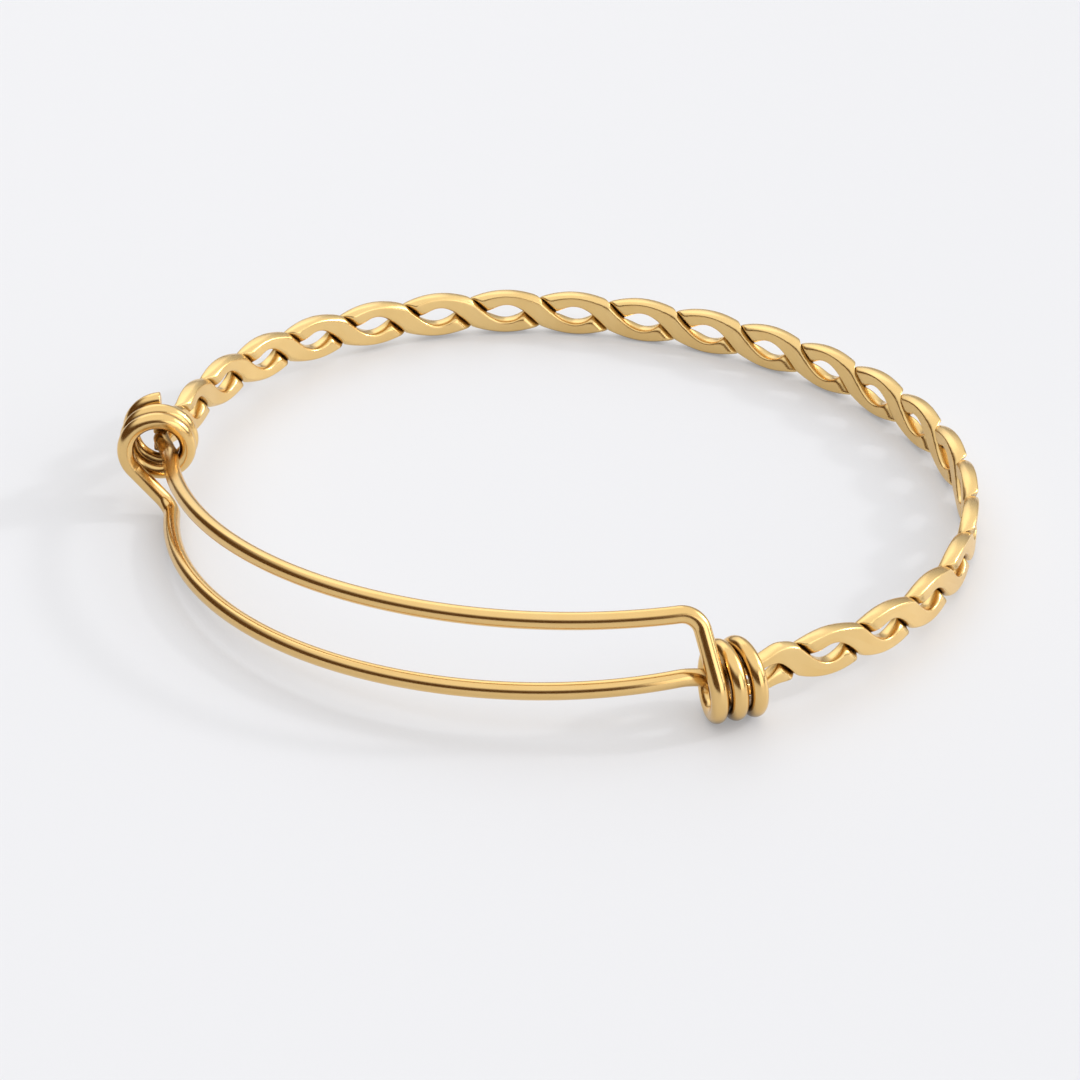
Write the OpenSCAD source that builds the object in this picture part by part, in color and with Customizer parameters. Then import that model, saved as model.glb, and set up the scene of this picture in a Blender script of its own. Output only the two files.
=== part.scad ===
// Braided bangle: two strands twisted together and rolled flat make the band, and two plain
// wires cross the open front one above the other. Each wire winds a coil round the far end.

/* [Hoop] */
// Mean radius of the hoop, to the middle of the band
hoop_r = 30.66; // [30.6:0.02:30.8]
// How far the hoop is pulled oval
oval = 0.66; // [0.5:0.01:0.8]
// Direction of the oval's long side, in degrees
oval_turn = 178.7; // [175:0.1:180]
// How far one end of the hoop is fuller than the other
egg = 0.15; // [0.05:0.01:0.2]
// How far the hoop is squared
square = 0.12; // [0.05:0.01:0.15]
// Direction of the hoop's full side, in degrees
egg_turn = 42.2; // [35:0.1:50]
// Direction of one of the hoop's corners, in degrees
square_turn = 64.1; // [60:0.1:70]

/* [Band at rest] */
// Mean height of the band's middle line above the surface
band_lift = 3.28; // [3.28:0.01:3.35]
// Rise and fall of the band round the hoop
lean = 1.82; // [1.75:0.01:1.82]
// Direction of the band's low side, in degrees
lean_turn = 88; // [87:0.1:89]
// Bow of the band, which lowers two opposite sides and lifts the two between them
bow = 0.5; // [0.45:0.01:0.5]
// Direction of one of the sides that the bow lowers, in degrees
bow_turn = 170.6; // [169:0.1:172]

/* [Braid] */
// Length of one eye with its crossing
eye_pitch = 5.835; // [5.8:0.005:5.88]
// Height of the flattened braid at an eye
braid_h = 3.65; // [3.5:0.05:3.7]
// Thickness of the flattened braid
braid_t = 1.22; // [1.1:0.01:1.26]
// Height of one strand at an eye
strand_eye_h = 1.12; // [1:0.02:1.2]
// Height of one strand where it crosses the other
strand_cross_h = 2.55; // [2.3:0.05:2.7]
// Clearance between the two strands where they cross
strand_gap = 0.08; // [0.07:0.01:0.1]
// Distance from the braid's middle to its left end, inside the coil
left_end = 68.4; // [68.2:0.1:68.5]
// Distance from the braid's middle to its right end, inside the coil
right_end = 63.8; // [63.2:0.1:64]

/* [Plain wires] */
// Diameter of the plain wires
wire_d = 1.28; // [1.2:0.02:1.3]
// Height of the upper wire where it turns down to its coil
upper_turn_z = 8.53; // [8:0.01:8.8]
// How far inside the hoop's line the upper wire turns
upper_turn_in = 0.42; // [0:0.02:1]
// Rise of the upper wire at mid front over a straight run
upper_arch = 0.19; // [0:0.01:0.5]
// How far the upper wire bulges out at mid front
upper_bulge = -0.72; // [-1:0.02:0.5]
// How far inside the hoop's line the lower wire turns
lower_turn_in = 0.15; // [0:0.01:0.6]
// Rise of the lower wire at mid front over a straight run
lower_arch = -0.03; // [-0.1:0.01:0.3]
// How far the lower wire bulges out at mid front
lower_bulge = 1.2; // [-0.5:0.05:1.4]
// Radius of the turn from a wire's run into its leg
turn_r = 1.5; // [1:0.05:1.6]

/* [Coils] */
// Radius of a coil, to the middle of its wire
coil_r = 2.35; // [2.3:0.01:2.5]
// Advance of a coil for each turn
coil_pitch = 1.38; // [1.35:0.01:1.46]
// Distance from the braid's middle to the first pass of the left-hand coil, over the top
left_coil_at = 70.4; // [70.35:0.05:70.6]
// Height of the left-hand coil's middle
left_coil_z = 5.06; // [5:0.02:5.12]
// How far the left-hand coil's middle stands outside the hoop's line
left_coil_out = 1; // [0.95:0.05:1.1]
// The same at its last pass, round the braid
left_coil_out_end = 0.85; // [0.8:0.05:0.9]
// How far the left-hand coil's cut end springs up
left_coil_spring = 0.3; // [0:0.05:0.4]
// Distance from the braid's middle to the first pass of the right-hand coil, under the bottom
right_coil_at = 64.8; // [64.75:0.05:64.9]
// How far the right-hand coil's middle stands outside the hoop's line
right_coil_out = 0.15; // [0.1:0.05:0.2]
// How much nearer to mid front the left-hand leg begins than its coil's first pass
left_leg_run = 1.6; // [1:0.1:2]
// The same for the right-hand leg
right_leg_run = 1.2; // [1:0.1:2]

/* [Hidden] */
gold = "#D9A54A";
pale_gold = "#E8C27A";
// The hoop's middle stands a little off the part's origin, which is under the middle of its outline
hoop_x = 0.1;
hoop_y = 0.68;
// Rings of the braid's mesh for each eye, and points of a ring on each rounded side
rings_per_eye = 12;
side_points = 3;
// Sides of a wire's mesh, rings along a run, in a turn and in a full turn of a coil
wire_sides = 12;
run_rings = 34;
turn_rings = 6;
coil_rings = 24;
// How much closer a run's rings lie where it begins, inside the coil
ring_crowding = 1.3;
// Half thickness of a strand before it is rolled, which sets how round its shoulders are towards the
// outside and the inside of the hoop
outer_half_t = 1.2;
inner_half_t = 0.85;
// How sharply a strand widens from an eye to a crossing
spread = 1.2;
// Least sideways share that the plane between the strands is worked out with
least_across = 0.1;
// Full turns of a coil past its first pass
coil_turns = 2;
// How the two coils hold the band off the hoop's line: distance out, height, length over which the
// band comes to that, share of this length outside the coil, depth in the coil up to which the band
// is held, length over which the wire leaves it
left_hold = [0.8, 0.5, 4, 0.9, 1.4, 2.6];
right_hold = [0.1, -0.7, 2.4, 0.75, 2, 4];
// How much the braid narrows towards a coil, and the length over which it does
narrow = 0.75;
narrow_run = 3;
// How late in a coil its last pass springs up
spring_power = 6;
// Clearance between a strand's end and the wire that it is welded to, inside the coil
weld_gap = 0.2;
hoop_length = 2 * PI * hoop_r;
solve_steps = 6;

// Angle, radius and height along the hoop. Distances run from the braid's middle, at the back, to its
// left end.
function ripple(t) =
    oval / 2 * sin(2 * (t - oval_turn)) + egg / 3 * sin(3 * (t - egg_turn))
    + square / 4 * sin(4 * (t - square_turn));
function angle_at(s, n = solve_steps) =
    n == 0 ? 90 + s / hoop_r * 180 / PI
           : 90 + (s - ripple(angle_at(s, n - 1)) + ripple(90)) / hoop_r * 180 / PI;
function radius_at(t) =
    hoop_r + oval * cos(2 * (t - oval_turn)) + egg * cos(3 * (t - egg_turn))
    + square * cos(4 * (t - square_turn));
function swell_at(t) =
    -2 * oval * sin(2 * (t - oval_turn)) - 3 * egg * sin(3 * (t - egg_turn))
    - 4 * square * sin(4 * (t - square_turn));
function band_z(s) =
    let (t = angle_at(s)) band_lift - lean * cos(t - lean_turn) - bow * cos(2 * (t - bow_turn));

// The point that lies s along the hoop, out from it and z above the surface
function place(p) =
    let (t = angle_at(p[0]), r = radius_at(t), d = swell_at(t), k = p[1] / norm([r, d]))
    [hoop_x + r * cos(t) + k * (r * cos(t) + d * sin(t)),
     hoop_y + r * sin(t) + k * (r * sin(t) - d * cos(t)),
     p[2]];

function unit(v) = v / norm(v);
function mix(a, b, f) = a + (b - a) * f;
function ease(f) = let (c = min(1, max(0, f))) c * c * (3 - 2 * c);
function bump(f) = 4 * f * (1 - f);

// Distance from the braid's middle to the inner face of the coil on the side of s
function coil_face(s) =
    (s > 0 ? left_coil_at : right_coil_at) - coil_turns * coil_pitch - wire_d / 2;

function hold(s) = s > 0 ? left_hold : right_hold;

// How far the band at s has come into its coil, from 0 to 1
function inside(s) = ease((abs(s) - coil_face(s)) / hold(s)[2] + hold(s)[3]);

// Offset of the band at s from the hoop's line: distance out and height
function seat(s) =
    let (past = (abs(s) - coil_face(s) - hold(s)[4]) / hold(s)[5])
    [hold(s)[0], hold(s)[1]] * inside(s) * (1 - ease(past));

// Closed skin over a list of rings that all have the same number of points
module skin(rings) {
    n = len(rings[0]);
    last = len(rings) - 1;
    sides = [
        for (i = [0 : last - 1], j = [0 : n - 1])
            let (a = i * n + j, b = i * n + (j + 1) % n)
            each [[a, b, a + n], [b, b + n, a + n]]
    ];
    caps = [[for (j = [n - 1 : -1 : 0]) j], [for (j = [0 : n - 1]) last * n + j]];
    polyhedron(points = [for (r = rings) each r], faces = concat(sides, caps));
}

// Strand section, s along the hoop: turn is 0 where the strand is at the top of an eye and 90 where
// it crosses over. Its outer and inner faces are rolled flat, its edges stay round, and it keeps to
// its own side of the plane that turns between the two strands.
function strand_section(s, side) =
    let (
        turn = 180 * s / eye_pitch + 90 * side,
        size = mix(1, narrow, ease((abs(s) - coil_face(s)) / narrow_run + 1)),
        zc = (braid_h - strand_eye_h) / 2 * size * cos(turn),
        half_h = mix(strand_cross_h, strand_eye_h, pow(abs(cos(turn)), spread)) / 2 * size,
        over = sin(turn) < 0 ? -1 : 1,
        flat_out = acos(braid_t / 2 / outer_half_t),
        flat_in = acos(braid_t / 2 / inner_half_t),
        step_up = (180 - flat_out - flat_in) / (side_points + 1),
        spots = concat(
            [for (i = [0 : side_points + 1]) flat_out + i * step_up],
            [for (i = [0 : side_points + 1]) 180 + flat_in + i * step_up]),
        middle = [0, band_z(s)] + seat(s)
    )
    [
        for (b = spots)
            let (
                z = zc + half_h * sin(b),
                out = (cos(b) > 0 ? outer_half_t : inner_half_t) * cos(b),
                plane = (strand_gap / 2 - z * cos(turn)) / max(least_across, abs(sin(turn))),
                q = middle + [over * max(over * out, plane), z]
            )
            place([s, q[0], q[1]])
    ];

// One strand of the braid, from weld to weld
module strand(side) {
    n = round((left_end + right_end) / eye_pitch * rings_per_eye);
    skin([for (i = [0 : n]) strand_section(mix(-right_end, left_end, i / n), side)]);
}

// Directions across a path that don't twist along it
function across(path) =
    let (last = len(path) - 1,
         along = [for (i = [0 : last]) unit(path[min(i + 1, last)] - path[max(i - 1, 0)])])
    [
        for (i = 0, a = unit(cross(along[0], [0, 0, 1]));
             i <= last;
             i = i + 1, a = i > last ? a : unit(a - (a * along[i]) * along[i]))
            [a, cross(a, along[i])]
    ];

// Round wire along a path of points
module wire(path) {
    skin([
        for (i = 0, f = across(path); i < len(path); i = i + 1)
            [for (j = [0 : wire_sides - 1])
                let (b = 360 * j / wire_sides)
                path[i] + wire_d / 2 * (cos(b) * f[i][0] + sin(b) * f[i][1])]
    ]);
}

// Plain run across the front. It leaves the braid's end on the given side, passes through one coil at
// held and turns down or up to its own coil at turn_at. shape holds its height at the turn, how far in
// that is, its arch and its bulge. A row is distance along the hoop, distance out, height.
function run(side, u, held, turn_at, shape) =
    let (
        t = max(0, (u - held) / (turn_at - held)),
        back = seat(side * u)
    )
    [side * u,
     -shape[1] * t + shape[3] * bump(t) + back[0],
     mix(band_z(side * min(u, held)), shape[0], t) + shape[2] * bump(t) + back[1]];

// Middle of the coil that the given side's wire winds, after turning by w: distance out and height.
// The right-hand coil rests on the surface.
function coil_mid(side, w) =
    let (share = w / (360 * coil_turns))
    side > 0 ? [right_coil_out, coil_r + wire_d / 2]
             : [mix(left_coil_out, left_coil_out_end, share),
                left_coil_z + left_coil_spring * pow(max(0, share), spring_power)];

// Turning left from the spot where a leg from the corner meets its coil to the coil's first pass
function first_sweep(side, corner) =
    let (m = coil_mid(side, 0), v = [corner[1] - m[0], side * (corner[2] - m[1])])
    90 + atan2(v[1], v[0]) - acos(coil_r / norm(v));

// Point of a coil after turning by w from its first pass, which lies at the distance first
function coil_point(side, w, first) =
    let (m = coil_mid(side, w), a = -side * (90 + w))
    [side * (first + coil_pitch * w / 360), m[0] + coil_r * cos(a), m[1] + coil_r * sin(a)];

// Whole route of a plain wire: run, turn, leg and coil
function route(side, shape) =
    let (
        begin = (side > 0 ? left_end : right_end) + weld_gap,
        held = side > 0 ? left_coil_at : right_coil_at,
        first = hoop_length - (side > 0 ? right_coil_at : left_coil_at),
        turn_at = first - (side > 0 ? right_leg_run : left_leg_run),
        corner = run(side, turn_at, held, turn_at, shape),
        sweep = first_sweep(side, corner),
        ahead = unit(corner - run(side, turn_at - turn_r, held, turn_at, shape)),
        down = unit(coil_point(side, -sweep, first) - corner),
        bend = acos(ahead * down),
        reach = turn_r * tan(bend / 2),
        inward = unit(down - (down * ahead) * ahead),
        turned = sweep + 360 * coil_turns,
        steps = ceil(turned / 360 * coil_rings)
    )
    concat(
        [for (i = [0 : run_rings - 1])
            let (share = pow(i / run_rings, ring_crowding))
            run(side, mix(begin, turn_at - reach, share), held, turn_at, shape)],
        [for (i = [0 : turn_rings])
            let (w = bend * i / turn_rings)
            corner - reach * ahead + turn_r * (sin(w) * ahead + (1 - cos(w)) * inward)],
        [for (i = [0 : steps]) coil_point(side, turned * i / steps - sweep, first)]
    );

module braid_strand_a() {
    color(pale_gold) strand(1);
}

module braid_strand_b() {
    color(pale_gold) strand(-1);
}

// Upper wire, from the braid's left end across the front to the right-hand coil
module upper_wire() {
    shape = [upper_turn_z, upper_turn_in, upper_arch, upper_bulge];
    color(gold) wire([for (p = route(1, shape)) place(p)]);
}

// Lower wire, from the braid's right end across the front to the left-hand coil
module lower_wire() {
    shape = [wire_d / 2, lower_turn_in, lower_arch, lower_bulge];
    color(gold) wire([for (p = route(-1, shape)) place(p)]);
}

braid_strand_a();
braid_strand_b();
upper_wire();
lower_wire();
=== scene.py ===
"""Braided bangle, dressed for its picture.

Two gold-coloured strands are twisted together and rolled flat, and two plain wires cross the open
front and wind coils round each other. The braid's strands and the wires are swept here along the same
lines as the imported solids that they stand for, with smooth sections, softened edges and cut ends.
"""

import logging
import math
from dataclasses import dataclass
from enum import Enum

import bmesh
import bpy
import numpy as np
from mathutils import Matrix, Vector


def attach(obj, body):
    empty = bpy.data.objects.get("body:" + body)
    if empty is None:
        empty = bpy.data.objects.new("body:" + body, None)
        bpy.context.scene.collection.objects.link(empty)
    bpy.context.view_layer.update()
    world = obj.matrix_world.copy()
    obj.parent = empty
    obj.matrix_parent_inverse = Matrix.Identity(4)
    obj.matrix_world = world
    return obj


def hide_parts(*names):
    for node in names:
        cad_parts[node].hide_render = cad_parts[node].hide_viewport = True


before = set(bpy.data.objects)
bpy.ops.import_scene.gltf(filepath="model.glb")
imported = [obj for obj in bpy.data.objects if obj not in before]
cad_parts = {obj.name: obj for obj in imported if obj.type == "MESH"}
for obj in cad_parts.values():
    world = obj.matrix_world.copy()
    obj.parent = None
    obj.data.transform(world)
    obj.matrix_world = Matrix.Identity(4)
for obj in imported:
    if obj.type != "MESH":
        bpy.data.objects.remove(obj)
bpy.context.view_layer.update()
# One millimetre in metres
MM = 0.001
UP = np.array([0.0, 0.0, 1.0])

log = logging.getLogger("bangle")


class End(Enum):
    """One end of the braid, with the side of the braid's middle that it lies on."""

    LEFT = 1
    RIGHT = -1


def mix(a: float, b: float, share: float) -> float:
    """Return the value that lies the given share of the way from a to b."""
    return a + (b - a) * share


def ease(share: float) -> float:
    """Return a share from 0 to 1 that starts and stops gently."""
    held = min(1.0, max(0.0, share))
    return held * held * (3 - 2 * held)


def bump(share: float) -> float:
    """Return a low arch that is 0 at both ends and 1 in the middle."""
    return 4 * share * (1 - share)


def unit(vector: np.ndarray) -> np.ndarray:
    """Return the vector at length 1."""
    return vector / np.linalg.norm(vector)


def cosd(degrees: float) -> float:
    """Return the cosine of an angle in degrees."""
    return math.cos(math.radians(degrees))


def sind(degrees: float) -> float:
    """Return the sine of an angle in degrees."""
    return math.sin(math.radians(degrees))


def linear(hex_colour: str) -> tuple[float, float, float, float]:
    """Turn an sRGB colour into the linear values that Blender mixes.

    Args:
        hex_colour: the colour as #RRGGBB.

    Returns:
        Red, green, blue and a full alpha.
    """
    parts = (int(hex_colour[i : i + 2], 16) / 255 for i in (1, 3, 5))
    channels = [c / 12.92 if c <= 0.04045 else ((c + 0.055) / 1.055) ** 2.4 for c in parts]
    return (*channels, 1.0)


@dataclass(frozen=True)
class Hold:
    """How a coil holds the band that runs through it, in millimetres.

    The coil pushes the band out and up over the length run_in, of which the given share lies outside
    the coil, holds it up to the depth held_to and lets it go again over the length run_out.
    """

    out: float
    height: float
    run_in: float
    share: float
    held_to: float
    run_out: float


@dataclass
class Hoop:
    """The bangle's line round the wrist, in millimetres. Distances along it start at the braid's middle."""

    radius: float = 30.66
    oval: float = 0.66
    oval_turn: float = 178.7
    egg: float = 0.15
    egg_turn: float = 42.2
    square: float = 0.12
    square_turn: float = 64.1
    middle_x: float = 0.1
    middle_y: float = 0.68
    band_lift: float = 3.28
    lean: float = 1.82
    lean_turn: float = 88.0
    bow: float = 0.5
    bow_turn: float = 170.6
    solve_steps: int = 6

    @property
    def length(self) -> float:
        """The way once round the hoop."""
        return 2 * math.pi * self.radius

    def ripple(self, t: float) -> float:
        """Return how far the distance at angle t runs ahead of a plain circle's."""
        return (
            self.oval / 2 * sind(2 * (t - self.oval_turn))
            + self.egg / 3 * sind(3 * (t - self.egg_turn))
            + self.square / 4 * sind(4 * (t - self.square_turn))
        )

    def angle_at(self, s: float) -> float:
        """Find the angle of a spot on the hoop by closing in on it.

        Args:
            s: the spot's distance along the hoop.

        Returns:
            The angle in degrees, from +X towards +Y.
        """
        t = 90 + math.degrees(s / self.radius)
        for _ in range(self.solve_steps):
            t = 90 + math.degrees((s - self.ripple(t) + self.ripple(90)) / self.radius)
        return t

    def radius_at(self, t: float) -> float:
        """Return the hoop's radius at angle t."""
        return (
            self.radius
            + self.oval * cosd(2 * (t - self.oval_turn))
            + self.egg * cosd(3 * (t - self.egg_turn))
            + self.square * cosd(4 * (t - self.square_turn))
        )

    def swell_at(self, t: float) -> float:
        """Return how fast the radius grows with the angle at t."""
        return (
            -2 * self.oval * sind(2 * (t - self.oval_turn))
            - 3 * self.egg * sind(3 * (t - self.egg_turn))
            - 4 * self.square * sind(4 * (t - self.square_turn))
        )

    def band_z(self, s: float) -> float:
        """Tell how high the band's middle line runs.

        Args:
            s: distance along the hoop.

        Returns:
            The height above the surface that the bangle rests on.
        """
        t = self.angle_at(s)
        fall = self.lean * cosd(t - self.lean_turn) + self.bow * cosd(2 * (t - self.bow_turn))
        return self.band_lift - fall

    def place(self, s: float, offsets: np.ndarray) -> np.ndarray:
        """Put points of a cross section where they belong on the hoop.

        Args:
            s: the section's distance along the hoop.
            offsets: one row for each point, with its distance out and its height.

        Returns:
            The points in millimetres, one row each.
        """
        t = self.angle_at(s)
        r, d = self.radius_at(t), self.swell_at(t)
        spoke = np.array([cosd(t), sind(t)])
        outward = (r * spoke + d * np.array([sind(t), -cosd(t)])) / math.hypot(r, d)
        flat = np.array([self.middle_x, self.middle_y]) + r * spoke + offsets[:, :1] * outward
        return np.column_stack([flat, offsets[:, 1]])


@dataclass
class Coils:
    """The two coils and how they hold the band, in millimetres."""

    hoop: Hoop
    wire_d: float = 1.28
    radius: float = 2.35
    pitch: float = 1.38
    turns: int = 2
    left_at: float = 70.4
    left_z: float = 5.06
    left_out: float = 1.0
    left_out_end: float = 0.85
    left_spring: float = 0.3
    spring_power: float = 6.0
    right_at: float = 64.8
    right_out: float = 0.15
    left_hold: Hold = Hold(out=0.8, height=0.5, run_in=4.0, share=0.9, held_to=1.4, run_out=2.6)
    right_hold: Hold = Hold(out=0.1, height=-0.7, run_in=2.4, share=0.75, held_to=2.0, run_out=4.0)

    def at(self, end: End) -> float:
        """Return the distance from the braid's middle to that coil's first pass."""
        return self.left_at if end is End.LEFT else self.right_at

    def hold(self, end: End) -> Hold:
        """Return how the coil at that end holds the band."""
        return self.left_hold if end is End.LEFT else self.right_hold

    def depth(self, s: float) -> float:
        """Return how deep the spot at s lies in its coil, from the coil's face on the braid's side."""
        end = End.LEFT if s > 0 else End.RIGHT
        return abs(s) - (self.at(end) - self.turns * self.pitch - self.wire_d / 2)

    def inside(self, s: float) -> float:
        """Return how far the band at s has come into its coil, from 0 to 1."""
        hold = self.hold(End.LEFT if s > 0 else End.RIGHT)
        return ease(self.depth(s) / hold.run_in + hold.share)

    def seat(self, s: float) -> np.ndarray:
        """Tell where the coil pushes the band.

        Args:
            s: distance along the hoop.

        Returns:
            How far the band is pushed out, and how far up.
        """
        hold = self.hold(End.LEFT if s > 0 else End.RIGHT)
        let_go = 1 - ease((self.depth(s) - hold.held_to) / hold.run_out)
        return np.array([hold.out, hold.height]) * self.inside(s) * let_go

    def middle(self, end: End, turned: float) -> np.ndarray:
        """Find the middle of a coil, which the left-hand one's last turn springs away from.

        Args:
            end: the braid's end that the coil's wire comes from.
            turned: the turn since the first pass, in degrees.

        Returns:
            The middle's distance out and its height.
        """
        if end is End.LEFT:
            return np.array([self.right_out, self.radius + self.wire_d / 2])
        share = turned / (360 * self.turns)
        spring = self.left_spring * max(0.0, share) ** self.spring_power
        return np.array([mix(self.left_out, self.left_out_end, share), self.left_z + spring])

    def point(self, end: End, turned: float, first: float) -> np.ndarray:
        """Return a point of a coil.

        Args:
            end: the braid's end that the coil's wire comes from.
            turned: the turn since the first pass, in degrees.
            first: the distance along the hoop to the first pass.

        Returns:
            Distance along the hoop, distance out, height.
        """
        out, up = self.middle(end, turned)
        a = -end.value * (90 + turned)
        along = end.value * (first + self.pitch * turned / 360)
        return np.array([along, out + self.radius * cosd(a), up + self.radius * sind(a)])


@dataclass(frozen=True)
class Section:
    """A closed cross section: its points and, for each, how much of the rolled flat it has."""

    points: np.ndarray
    flat: np.ndarray


@dataclass
class Braid:
    """The two strands, twisted together and rolled flat, in millimetres."""

    hoop: Hoop
    coils: Coils
    eye_pitch: float = 5.835
    height: float = 3.65
    thickness: float = 1.22
    strand_eye_h: float = 1.12
    strand_cross_h: float = 2.55
    strand_gap: float = 0.08
    left_end: float = 68.4
    right_end: float = 63.8
    outer_half_t: float = 1.2
    inner_half_t: float = 0.85
    spread: float = 1.2
    narrow: float = 0.75
    narrow_run: float = 3.0
    dive: float = 1.3
    dive_soft: float = 0.3
    edge_soft: float = 0.09
    flat_slack: float = 0.03
    flat_fade: float = 0.02
    rings_per_eye: int = 40
    outline_points: int = 240
    ring_points: int = 80

    def outline(self, s: float, side: int) -> np.ndarray:
        """Return a strand's section before its edges are softened.

        Args:
            s: distance along the hoop from the braid's middle.
            side: 1 for the first strand and -1 for the second, which crosses half a turn later.

        Returns:
            Distance out from the band's middle line and height above it, one row for each point.
        """
        turn = 180 * s / self.eye_pitch + 90 * side
        narrowed = mix(1, self.narrow, ease(self.coils.depth(s) / self.narrow_run + 1))
        middle = (self.height - self.strand_eye_h) / 2 * narrowed * cosd(turn)
        tall = mix(self.strand_cross_h, self.strand_eye_h, abs(cosd(turn)) ** self.spread)
        half_h = tall / 2 * narrowed
        over = -1 if sind(turn) < 0 else 1
        spots = np.linspace(0, 2 * math.pi, self.outline_points, endpoint=False)
        up = middle + half_h * np.sin(spots)
        wide = np.where(np.cos(spots) > 0, self.outer_half_t, self.inner_half_t) * np.cos(spots)
        own = over * np.clip(wide, -self.thickness / 2, self.thickness / 2)
        # The strands share their heights up to this far above and below the band's middle line
        shared = max(0.0, half_h - abs(middle))
        rise = np.sign(middle) * np.sign(up) * self.dive * np.maximum(np.abs(up) - shared, 0)
        divider = self.strand_gap / 2 - rise
        rounding = np.maximum(self.dive_soft - np.abs(own - divider), 0) ** 2 / (4 * self.dive_soft)
        return np.column_stack([over * (np.maximum(own, divider) + rounding), up])

    def section(self, s: float, side: int) -> Section:
        """Return a strand's section with soft edges, in its place on the band.

        Args:
            s: distance along the hoop from the braid's middle.
            side: 1 for the first strand and -1 for the second.

        Returns:
            The section, with 1 for each point on a rolled flat and 0 for each on an edge.
        """
        outline = self.outline(s, side)
        soft = soften(outline, self.edge_soft, self.ring_points)
        from_edge = np.abs(soft[:, 0]) - (self.thickness / 2 - self.flat_slack)
        flat = np.clip(from_edge / self.flat_fade, 0, 1)
        middle = np.array([0, self.hoop.band_z(s)]) + self.coils.seat(s)
        return Section(soft + middle, flat)

    def build(self, side: int, name: str) -> bpy.types.Object:
        """Make one strand of the braid as a closed mesh.

        Args:
            side: 1 for the first strand and -1 for the second.
            name: the new object's name.

        Returns:
            The strand, with a point attribute that says how much of the rolled flat each point has.
        """
        steps = round((self.left_end + self.right_end) / self.eye_pitch * self.rings_per_eye)
        rings, flats, along = [], [], []
        for i in range(steps + 1):
            s = mix(-self.right_end, self.left_end, i / steps)
            section = self.section(s, side)
            rings.append(self.hoop.place(s, section.points))
            flats.append(section.flat)
            along.append(s)
        piece = skin(name, rings, along)
        rolled = piece.data.attributes.new("rolled", "FLOAT", "POINT")
        rolled.data.foreach_set("value", np.concatenate(flats))
        return piece

    def pieces(self, finish: bpy.types.Material) -> list[bpy.types.Object]:
        """Build both strands and dress them.

        Args:
            finish: the strands' material.

        Returns:
            The two strands.
        """
        strands = [self.build(1, "braid_strand_a_finished"), self.build(-1, "braid_strand_b_finished")]
        for strand in strands:
            dress(strand, finish)
        return strands


def soften(outline: np.ndarray, radius: float, count: int, finer: int = 6) -> np.ndarray:
    """Round every corner of a closed outline and spread its points evenly.

    Args:
        outline: the outline's points, one row each.
        radius: about the radius that a square corner ends up with.
        count: the number of points wanted.
        finer: how many points stand for each of them while the corners are rounded.

    Returns:
        The softened outline's points, starting where the outline does.
    """
    dense = count * finer
    closed = np.vstack([outline, outline[:1]])
    reach = np.concatenate([[0], np.cumsum(np.linalg.norm(np.diff(closed, axis=0), axis=1))])
    spots = np.linspace(0, reach[-1], dense, endpoint=False)
    even = np.column_stack([np.interp(spots, reach, closed[:, k]) for k in (0, 1)])
    step = reach[-1] / dense
    lag = np.minimum(np.arange(dense), dense - np.arange(dense)) * step
    weight = np.exp(-0.5 * (lag / radius) ** 2)
    weight /= weight.sum()
    shape = np.real(np.fft.ifft(np.fft.fft(even, axis=0) * np.fft.fft(weight)[:, None], axis=0))
    return shape[::finer]


def skin(name: str, rings: list[np.ndarray], along: list[float]) -> bpy.types.Object:
    """Close a skin over rings of points and add it to the scene.

    Args:
        name: the new object's name.
        rings: the rings' points in millimetres, each with the same number of points.
        along: each ring's distance along the piece in millimetres, for the UV map.

    Returns:
        The new object, in metres. Its UV map runs in millimetres along the piece and round it.
    """
    count, last = len(rings[0]), len(rings) - 1
    middle = rings[last // 2]
    girth = np.linalg.norm(middle - np.roll(middle, 1, axis=0), axis=1).sum()
    shell = bmesh.new()
    corners = [[shell.verts.new(point * MM) for point in ring] for ring in rings]
    uv = shell.loops.layers.uv.new("length")
    for i in range(last):
        for j in range(count):
            k = (j + 1) % count
            face = shell.faces.new((corners[i][j], corners[i][k], corners[i + 1][k], corners[i + 1][j]))
            face.smooth = True
            spots = ((i, j), (i, j + 1), (i + 1, j + 1), (i + 1, j))
            for loop, (ring, step) in zip(face.loops, spots):
                loop[uv].uv = (along[ring], step / count * girth)
    shell.faces.new(corners[0])
    shell.faces.new(corners[last])
    bmesh.ops.recalc_face_normals(shell, faces=shell.faces)
    mesh = bpy.data.meshes.new(name)
    shell.to_mesh(mesh)
    shell.free()
    piece = bpy.data.objects.new(name, mesh)
    bpy.context.scene.collection.objects.link(piece)
    return piece


@dataclass(frozen=True)
class Run:
    """A plain wire's run across the front, in millimetres."""

    turn_z: float
    turn_in: float
    arch: float
    bulge: float
    leg_run: float


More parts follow.
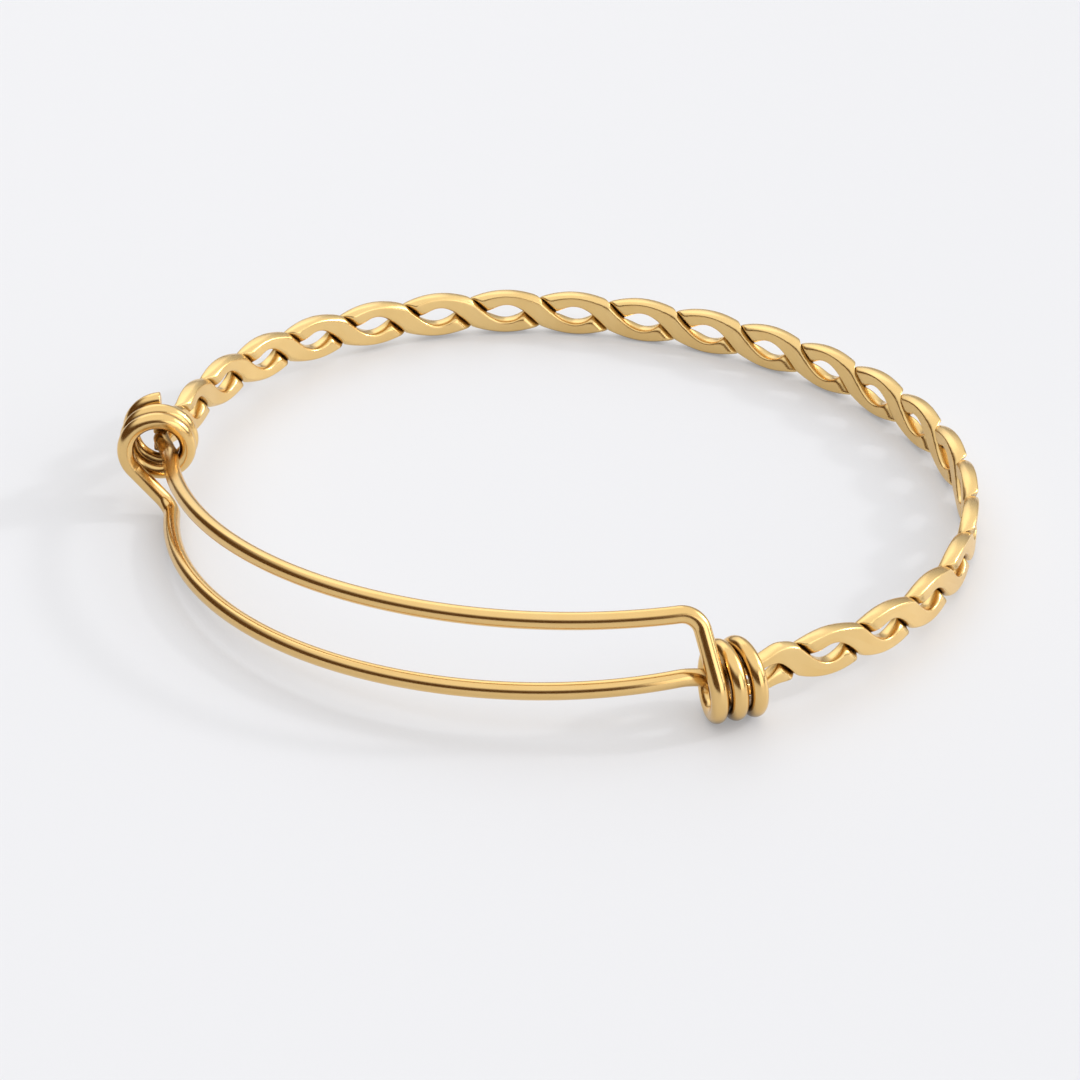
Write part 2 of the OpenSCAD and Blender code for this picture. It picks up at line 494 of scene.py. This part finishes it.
@dataclass
class PlainWires:
    """The upper and the lower wire, each with the coil that it winds, in millimetres."""

    hoop: Hoop
    coils: Coils
    braid: Braid
    upper: Run = Run(turn_z=8.53, turn_in=0.42, arch=0.19, bulge=-0.72, leg_run=1.2)
    lower: Run = Run(turn_z=0.64, turn_in=0.15, arch=-0.03, bulge=1.2, leg_run=1.6)
    turn_r: float = 1.5
    weld_gap: float = 0.2
    end_soft: float = 0.1
    end_arc: tuple[float, ...] = (0, 30, 60, 90)
    sides: int = 40
    step: float = 0.16
    finer_in_turn: int = 2

    def run_point(self, end: End, shape: Run, u: float, turn_at: float) -> np.ndarray:
        """Return a point of a plain run.

        Args:
            end: the braid's end that the wire goes on from.
            shape: the wire's run across the front.
            u: the point's distance along the hoop from the braid's middle, by way of that end.
            turn_at: the distance at which the run would end if its turn were sharp.

        Returns:
            Distance along the hoop, distance out, height.
        """
        held = self.coils.at(end)
        share = max(0.0, (u - held) / (turn_at - held))
        out, up = self.coils.seat(end.value * u)
        level = self.hoop.band_z(end.value * min(u, held))
        return np.array([
            end.value * u,
            -shape.turn_in * share + shape.bulge * bump(share) + out,
            mix(level, shape.turn_z, share) + shape.arch * bump(share) + up,
        ])

    def route(self, end: End, shape: Run) -> np.ndarray:
        """Return a wire's whole route: run, turn, leg and coil.

        Args:
            end: the braid's end that the wire goes on from.
            shape: the wire's run across the front.

        Returns:
            Points in millimetres, one row each.
        """
        coils = self.coils
        begin = (self.braid.left_end if end is End.LEFT else self.braid.right_end) + self.weld_gap
        far = End.RIGHT if end is End.LEFT else End.LEFT
        first = self.hoop.length - coils.at(far)
        turn_at = first - shape.leg_run
        corner = self.run_point(end, shape, turn_at, turn_at)
        middle = coils.middle(end, 0)
        v = np.array([corner[1] - middle[0], end.value * (corner[2] - middle[1])])
        reach_angle = math.degrees(math.acos(coils.radius / np.linalg.norm(v)))
        sweep = 90 + math.degrees(math.atan2(v[1], v[0])) - reach_angle
        ahead = unit(corner - self.run_point(end, shape, turn_at - self.turn_r, turn_at))
        down = unit(coils.point(end, -sweep, first) - corner)
        bend = math.acos(float(ahead @ down))
        reach = self.turn_r * math.tan(bend / 2)
        inward = unit(down - (down @ ahead) * ahead)
        turned = sweep + 360 * coils.turns
        points = []
        run_steps = round((turn_at - reach - begin) / self.step)
        for i in range(run_steps):
            u = mix(begin, turn_at - reach, i / run_steps)
            points.append(self.run_point(end, shape, u, turn_at))
        turn_steps = round(bend * self.turn_r / self.step) * self.finer_in_turn
        for i in range(turn_steps + 1):
            w = bend * i / turn_steps
            swing = math.sin(w) * ahead + (1 - math.cos(w)) * inward
            points.append(corner - reach * ahead + self.turn_r * swing)
        coil_steps = round(math.radians(turned) * coils.radius / self.step)
        for i in range(coil_steps + 1):
            points.append(coils.point(end, turned * i / coil_steps - sweep, first))
        return np.concatenate([self.hoop.place(p[0], p[None, 1:]) for p in points])

    def end_rings(self, i: int, last: int) -> list[tuple[float, float]]:
        """Return the rings that the wire has at point i of its path.

        Args:
            i: the point's number on the path.
            last: the number of the path's last point.

        Returns:
            For each ring, how far its skin stands in and how far it is slid along the path.
        """
        if 0 < i < last:
            return [(0.0, 0.0)]
        soft = self.end_soft
        arc = [(soft * (1 - sind(a)), soft * (1 - cosd(a))) for a in self.end_arc]
        return arc if i == 0 else [(inset, -slide) for inset, slide in reversed(arc)]

    def build(self, end: End, shape: Run, name: str) -> bpy.types.Object:
        """Make one wire as a closed mesh with softened cut ends.

        Args:
            end: the braid's end that the wire goes on from.
            shape: the wire's run across the front.
            name: the new object's name.

        Returns:
            The wire.
        """
        path = self.route(end, shape)
        ahead = np.gradient(path, axis=0)
        ahead /= np.linalg.norm(ahead, axis=1)[:, None]
        lengths = np.concatenate([[0], np.cumsum(np.linalg.norm(np.diff(path, axis=0), axis=1))])
        turns = np.linspace(0, 2 * math.pi, self.sides, endpoint=False)[:, None]
        across = unit(np.cross(ahead[0], UP))
        rings, spots = [], []
        for i, middle in enumerate(path):
            across = unit(across - (across @ ahead[i]) * ahead[i])
            circle = np.cos(turns) * across + np.sin(turns) * np.cross(across, ahead[i])
            for inset, slide in self.end_rings(i, len(path) - 1):
                rings.append(middle + slide * ahead[i] + (self.coils.wire_d / 2 - inset) * circle)
                spots.append(lengths[i] + slide)
        return skin(name, rings, spots)

    def pieces(self, finish: bpy.types.Material) -> list[bpy.types.Object]:
        """Build both wires and dress them.

        Args:
            finish: the wires' material.

        Returns:
            The upper and the lower wire.
        """
        wires = [
            self.build(End.LEFT, self.upper, "upper_wire_finished"),
            self.build(End.RIGHT, self.lower, "lower_wire_finished"),
        ]
        for wire in wires:
            dress(wire, finish)
        return wires


def dress(piece: bpy.types.Object, finish: bpy.types.Material) -> None:
    """Give a piece its finish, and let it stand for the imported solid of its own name.

    Args:
        piece: the piece, named for its solid with _finished behind it.
        finish: the piece's material.
    """
    piece.data.materials.append(finish)
    node = piece.name.removesuffix("_finished")
    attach(piece, "root")
    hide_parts(node)


def add_node(
    tree: bpy.types.NodeTree,
    kind: str,
    values: dict[str | int, object],
    links: dict[str | int, bpy.types.NodeSocket],
    **settings: object,
) -> bpy.types.Node:
    """Add a shader node with its settings and links.

    Args:
        tree: the material's node tree.
        kind: the node's type name.
        values: input name or number to its constant.
        links: input name or number to the output that feeds it.
        **settings: the node's own properties.

    Returns:
        The new node.
    """
    made = tree.nodes.new(kind)
    for key, value in settings.items():
        setattr(made, key, value)
    for key, value in values.items():
        made.inputs[key].default_value = value
    for key, source in links.items():
        tree.links.new(source, made.inputs[key])
    return made


def new_tree(name: str) -> tuple[bpy.types.Material, bpy.types.NodeTree]:
    """Make an empty node material.

    Args:
        name: the material's name.

    Returns:
        The material and its node tree.
    """
    material = bpy.data.materials.new(name)
    material.use_nodes = True
    material.node_tree.nodes.clear()
    return material, material.node_tree


@dataclass(frozen=True)
class GoldPlatedSteel:
    """Gold-plated stainless steel.

    The gold is a thin layer on polished steel, so the eye sees its colour only in what it reflects.
    Rolls leave a faint satin with grain along the strand on the flats, where the mesh says rolled,
    and everything else is polished. The real grain is too fine to show, so it is drawn coarser.
    Painted shade darkens the colour in the crevices, up to crevice_size from the metal that shuts
    them in. Lengths are in millimetres.
    """

    name: str
    colour: str
    deep_colour: str
    polished: float
    satin: float
    grain_length: float
    grain_width: float
    grain_depth: float
    crevice_size: float
    grain_detail: float = 3.0
    grain_harshness: float = 0.6
    grain_relief: float = 0.5
    patch_detail: float = 2.0
    patch_size: float = 3.0
    uneven: float = 0.04
    # Dark brown that the painted shade in the crevices darkens the colour towards
    painted_shade_colour: str = "#6B4C22"
    crevice_open: float = 0.75

    def make(self) -> bpy.types.Material:
        """Set the finish up as nodes.

        Returns:
            The finish as a material.
        """
        material, tree = new_tree(self.name)
        rolled = add_node(tree, "ShaderNodeAttribute", {}, {}, attribute_name="rolled")
        uv = add_node(tree, "ShaderNodeUVMap", {}, {}, uv_map="length").outputs["UV"]
        # The UV map runs in millimetres, so one over a grain's size is its scale
        grain_scale = (1 / self.grain_length, 1 / self.grain_width, 1.0)
        along = add_node(tree, "ShaderNodeMapping", {"Scale": grain_scale}, {"Vector": uv})
        grain = add_node(
            tree, "ShaderNodeTexNoise",
            {"Scale": 1.0, "Detail": self.grain_detail, "Roughness": self.grain_harshness},
            {"Vector": along.outputs["Vector"]},
        ).outputs["Fac"]
        patches = add_node(
            tree, "ShaderNodeTexNoise",
            {"Scale": 1 / self.patch_size, "Detail": self.patch_detail}, {"Vector": uv},
        ).outputs["Fac"]
        level = add_node(
            tree, "ShaderNodeMapRange", {"To Min": self.polished, "To Max": self.satin},
            {"Value": rolled.outputs["Fac"]},
        ).outputs["Result"]
        shift = add_node(
            tree, "ShaderNodeMapRange", {"To Min": -self.uneven, "To Max": self.uneven},
            {"Value": grain},
        ).outputs["Result"]
        roughness = add_node(
            tree, "ShaderNodeMath", {}, {0: level, 1: shift}, operation="ADD"
        ).outputs["Value"]
        tint = add_node(
            tree, "ShaderNodeMix",
            {6: linear(self.colour), 7: linear(self.deep_colour)}, {0: patches}, data_type="RGBA",
        ).outputs[2]
        # Painted shade: the colour darkens towards the dark brown where other metal stands within
        # crevice_size
        crevice = add_node(
            tree, "ShaderNodeAmbientOcclusion", {"Distance": self.crevice_size * MM}, {}
        ).outputs["AO"]
        unshaded_share = add_node(
            tree, "ShaderNodeMapRange", {"From Max": self.crevice_open}, {"Value": crevice},
            interpolation_type="SMOOTHSTEP",
        ).outputs["Result"]
        crevice_shaded = add_node(
            tree, "ShaderNodeMix", {6: linear(self.painted_shade_colour)}, {0: unshaded_share, 7: tint},
            data_type="RGBA",
        ).outputs[2]
        bump_node = add_node(
            tree, "ShaderNodeBump",
            {"Strength": self.grain_relief, "Distance": self.grain_depth * MM}, {"Height": grain},
        ).outputs["Normal"]
        shader = add_node(
            tree, "ShaderNodeBsdfPrincipled", {"Metallic": 1.0},
            {"Base Color": crevice_shaded, "Roughness": roughness, "Normal": bump_node},
        ).outputs["BSDF"]
        add_node(tree, "ShaderNodeOutputMaterial", {}, {"Surface": shader})
        return material


# Rolled braid: pale satin flats between polished edges
ROLLED_GOLD = GoldPlatedSteel(
    name="rolled_gold_plated_steel", colour="#F2D294", deep_colour="#E8C27C",
    polished=0.26, satin=0.36, grain_length=1.2, grain_width=0.12, grain_depth=0.002,
    crevice_size=0.9,
)
# Drawn wire: polished, with faint lines along it
DRAWN_GOLD = GoldPlatedSteel(
    name="drawn_gold_plated_steel", colour="#ECC98A", deep_colour="#E5BD78",
    polished=0.19, satin=0.19, grain_length=6.0, grain_width=0.12, grain_depth=0.0015,
    crevice_size=2.2,
)


def heading(turn: float, rise: float) -> Vector:
    """Return the direction at an angle from +X towards +Y, and at an angle above the table."""
    return Vector((cosd(turn) * cosd(rise), sind(turn) * cosd(rise), sind(rise)))


@dataclass(frozen=True)
class Softbox:
    """A square softbox: its direction and distance from the bangle, its size and how bright it is."""

    name: str
    turn: float
    rise: float
    away: float
    size: float
    level: float


@dataclass
class Studio:
    """A plain pale table in a light tent, with the camera where the photographer stood.

    Lengths are in metres and angles in degrees. The camera's place is given round the spot that it
    looks at, its azimuth turning from the front to the right.
    """

    table_size: float = 1.6
    table_colour: str = "#B9BABE"
    table_roughness: float = 0.5
    glow_colour: str = "#FFFFFF"
    table_glow: float = 0.285
    wall_level: float = 0.52
    roof_level: float = 1.1
    roof_rise: float = 15.0
    roof_edge: float = 30.0
    hem_rise: float = 2.0
    hem_edge: float = 6.0
    room_colour: str = "#5C4326"
    opening_turn: float = 258.0
    opening_half: float = 75.0
    opening_top: float = 27.0
    opening_edge: float = 22.0
    softboxes: tuple[Softbox, ...] = (
        Softbox("key_softbox", turn=56, rise=27, away=3.0, size=0.24, level=115),
        Softbox("side_softbox", turn=56, rise=26, away=3.0, size=2.0, level=2.1),
        Softbox("left_softbox", turn=150, rise=34, away=3.0, size=2.4, level=0.55),
        Softbox("right_softbox", turn=-5, rise=14, away=3.0, size=2.4, level=1.3),
    )
    look_at: tuple[float, float, float] = (0.001648, -0.004313, 0.0)
    camera_away: float = 0.277438
    azimuth: float = 40.067
    elevation: float = 29.976
    roll: float = 1.107
    lens: float = 121.07
    clip_start: float = 0.01

    def table(self) -> None:
        """Lay the table top under the bangle: satin opal acrylic with a little light from below."""
        material, tree = new_tree("satin_opal_acrylic")
        shader = add_node(
            tree, "ShaderNodeBsdfPrincipled",
            {"Base Color": linear(self.table_colour), "Roughness": self.table_roughness,
             "Emission Color": linear(self.glow_colour), "Emission Strength": self.table_glow}, {},
        ).outputs["BSDF"]
        add_node(tree, "ShaderNodeOutputMaterial", {}, {"Surface": shader})
        half = self.table_size / 2
        corners = [(-half, -half, 0), (half, -half, 0), (half, half, 0), (-half, half, 0)]
        mesh = bpy.data.meshes.new("table_top")
        mesh.from_pydata(corners, [], [(0, 1, 2, 3)])
        mesh.materials.append(material)
        top = bpy.data.objects.new("table_top", mesh)
        bpy.context.scene.collection.objects.link(top)

    def tent(self) -> None:
        """Make the light tent: pale, brighter overhead, with the dark room beyond its open front."""
        world = bpy.data.worlds.new("light_tent")
        world.use_nodes = True
        tree = world.node_tree
        tree.nodes.clear()
        way = add_node(tree, "ShaderNodeTexCoord", {}, {}).outputs["Generated"]
        height = add_node(tree, "ShaderNodeSeparateXYZ", {}, {0: way}).outputs["Z"]
        front = tuple(heading(self.opening_turn, 0))
        ahead = add_node(
            tree, "ShaderNodeVectorMath", {1: front}, {0: way}, operation="DOT_PRODUCT"
        ).outputs["Value"]

        def share(source: bpy.types.NodeSocket, low: float, high: float) -> bpy.types.NodeSocket:
            """Return how far the source has come from low to high, eased."""
            return add_node(
                tree, "ShaderNodeMapRange", {"From Min": low, "From Max": high},
                {"Value": source}, interpolation_type="SMOOTHSTEP",
            ).outputs["Result"]

        closed = share(ahead, cosd(self.opening_half + self.opening_edge), cosd(self.opening_half))
        above = share(height, sind(self.opening_top), sind(self.opening_top + self.opening_edge))
        over_hem = share(height, sind(self.hem_rise), sind(self.hem_rise + self.hem_edge))
        overhead = share(height, sind(self.roof_rise), sind(self.roof_rise + self.roof_edge))
        cloth = add_node(
            tree, "ShaderNodeMix",
            {6: (self.wall_level,) * 3 + (1.0,), 7: (self.roof_level,) * 3 + (1.0,)},
            {0: overhead}, data_type="RGBA",
        ).outputs[2]
        room = linear(self.room_colour)
        hemmed = add_node(
            tree, "ShaderNodeMix", {6: room}, {0: over_hem, 7: cloth}, data_type="RGBA"
        ).outputs[2]
        fronted = add_node(
            tree, "ShaderNodeMix", {6: room}, {0: above, 7: hemmed}, data_type="RGBA"
        ).outputs[2]
        colour = add_node(
            tree, "ShaderNodeMix", {}, {0: closed, 6: hemmed, 7: fronted}, data_type="RGBA"
        ).outputs[2]
        light = add_node(tree, "ShaderNodeBackground", {}, {"Color": colour}).outputs["Background"]
        add_node(tree, "ShaderNodeOutputWorld", {}, {"Surface": light})
        bpy.context.scene.world = world

    def softbox(self, box: Softbox) -> None:
        """Hang one square softbox, facing the bangle.

        Args:
            box: the softbox's place, size and brightness.
        """
        data = bpy.data.lights.new(box.name, "AREA")
        data.shape = "SQUARE"
        data.size = box.size
        data.energy = box.level * math.pi * box.size**2
        lamp = bpy.data.objects.new(box.name, data)
        bpy.context.scene.collection.objects.link(lamp)
        way = heading(box.turn, box.rise)
        lamp.location = box.away * way
        lamp.rotation_euler = way.to_track_quat("Z", "Y").to_euler()

    def camera(self) -> None:
        """Set up the camera at the photograph's angle."""
        data = bpy.data.cameras.new("camera")
        data.lens = self.lens
        data.clip_start = self.clip_start
        back = Vector((
            sind(self.azimuth) * cosd(self.elevation),
            -cosd(self.azimuth) * cosd(self.elevation),
            sind(self.elevation),
        ))
        right = Vector((cosd(self.azimuth), sind(self.azimuth), 0))
        up = back.cross(right)
        rolled_right = right * cosd(self.roll) + up * sind(self.roll)
        rolled_up = up * cosd(self.roll) - right * sind(self.roll)
        place = Vector(self.look_at) + self.camera_away * back
        turned = Matrix((rolled_right, rolled_up, back)).transposed().to_4x4()
        seen = bpy.data.objects.new("camera", data)
        bpy.context.scene.collection.objects.link(seen)
        seen.matrix_world = Matrix.Translation(place) @ turned
        bpy.context.scene.camera = seen

    def build(self) -> None:
        """Set up the table, the lights and the camera."""
        self.table()
        self.tent()
        for box in self.softboxes:
            self.softbox(box)
        self.camera()
        bpy.context.scene.view_settings.view_transform = "Standard"


def main() -> None:
    """Build the studio and its camera, then the bangle, and report each piece."""
    logging.basicConfig(level=logging.INFO, format="%(message)s")
    Studio().build()
    hoop = Hoop()
    coils = Coils(hoop)
    braid = Braid(hoop, coils)
    wires = PlainWires(hoop, coils, braid)
    rolled, drawn = ROLLED_GOLD.make(), DRAWN_GOLD.make()
    for piece in braid.pieces(rolled) + wires.pieces(drawn):
        log.info("%s: %d faces", piece.name, len(piece.data.polygons))


if __name__ == "__main__":
    main()
